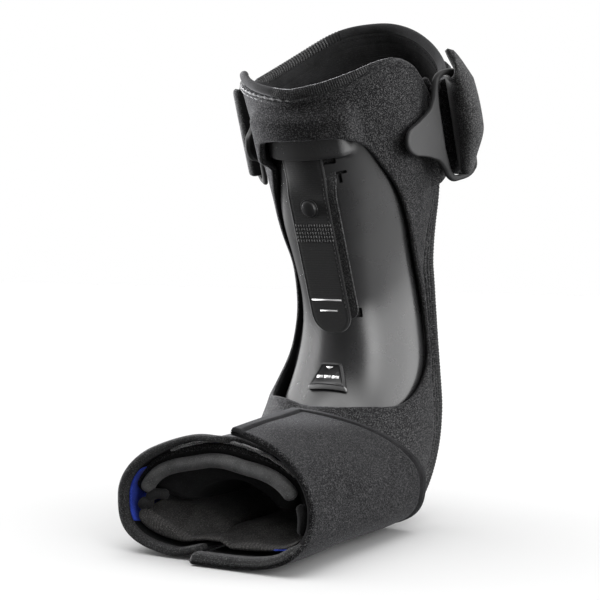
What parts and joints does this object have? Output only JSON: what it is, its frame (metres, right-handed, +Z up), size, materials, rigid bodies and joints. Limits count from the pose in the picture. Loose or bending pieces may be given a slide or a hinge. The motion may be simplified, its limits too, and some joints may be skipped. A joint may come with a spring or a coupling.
{
  "type": "ankle foot orthosis",
  "caption": "Dorsal ankle foot splint with a moulded shin shell, padded cover, calf cuff and strap, sliding tension strap and a forefoot wrap with a fold-over flap.",
  "frame": {"origin": "centre of the flat sole of the forefoot wrap, on the surface it stands on", "axes": "+Z up, toes towards -Y, the flap's fold on the +X side"},
  "size_m": [0.152, 0.2212, 0.2927],
  "materials": {
    "shell": "satin moulded thermoplastic",
    "foam": "closed-cell foam sheet",
    "lining": "fine ribbed lining cloth",
    "velour": "heathered brushed loop fabric",
    "binding": "overlocked edge binding",
    "hook_tape": "hook tape",
    "loop_plastic": "satin moulded plastic",
    "steel": "plain steel rivet",
    "webbing": "woven strap",
    "snap": "polished snap cap",
    "plate": "moulded plate",
    "blue_lining": "brushed blue lining",
    "pad_knit": "soft knit over foam"
  },
  "bodies": {
    "splint": {"dorsal_shell": "shell", "foam_liner": "foam", "inner_lining": "lining", "front_cover": "velour", "cuff_binding": "binding", "left_edge_binding": "binding", "right_edge_binding": "binding", "tongue_binding": "binding", "calf_panel": "velour", "calf_panel_binding": "binding", "calf_strap": "velour", "left_stud": "steel", "right_stud": "steel", "left_washer": "steel", "right_washer": "steel", "hook_base": "hook_tape", "limit_plate": "plate", "wrap_body": "velour", "wrap_hem": "binding", "wrap_lining": "blue_lining", "sole_pad_left": "pad_knit", "sole_pad_right": "pad_knit"},
    "tension_strap": {"tension_strap": "webbing", "strap_hook": "hook_tape", "strap_snap": "snap"},
    "left_loop": {"left_loop": "loop_plastic", "left_strap_turn": "velour"},
    "right_loop": {"right_loop": "loop_plastic"},
    "strap_tail": {"strap_tail": "velour", "tail_hook": "hook_tape"},
    "wrap_flap": {"wrap_flap": "velour", "flap_hem": "binding", "flap_hook": "hook_tape"}
  },
  "joints": [
    {"name": "strap_pull", "type": "slide", "parent": "splint", "child": "tension_strap", "axis": [0, 0.2861, -0.9582], "range_m": [0, 0.012]},
    {"name": "left_loop_swivel", "type": "hinge", "parent": "splint", "child": "left_loop", "pos_m": [-0.05278, 0.06632, 0.22006], "axis": [-0.9775, -0.1969, -0.0756], "range_deg": [-5, 5]},
    {"name": "right_loop_swivel", "type": "hinge", "parent": "splint", "child": "right_loop", "pos_m": [0.05278, 0.06632, 0.22006], "axis": [0.9775, -0.1969, -0.0756], "range_deg": [-5, 5]},
    {"name": "strap_tail_lift", "type": "hinge", "parent": "right_loop", "child": "strap_tail", "pos_m": [0.07, 0.08639, 0.22776], "axis": [0, 0.3584, -0.9336], "range_deg": [0, 75]},
    {"name": "flap_fold", "type": "hinge", "parent": "splint", "child": "wrap_flap", "pos_m": [0.05605, 0, 0.014], "axis": [0, 1, 0], "range_deg": [0, 90]}
  ]
}
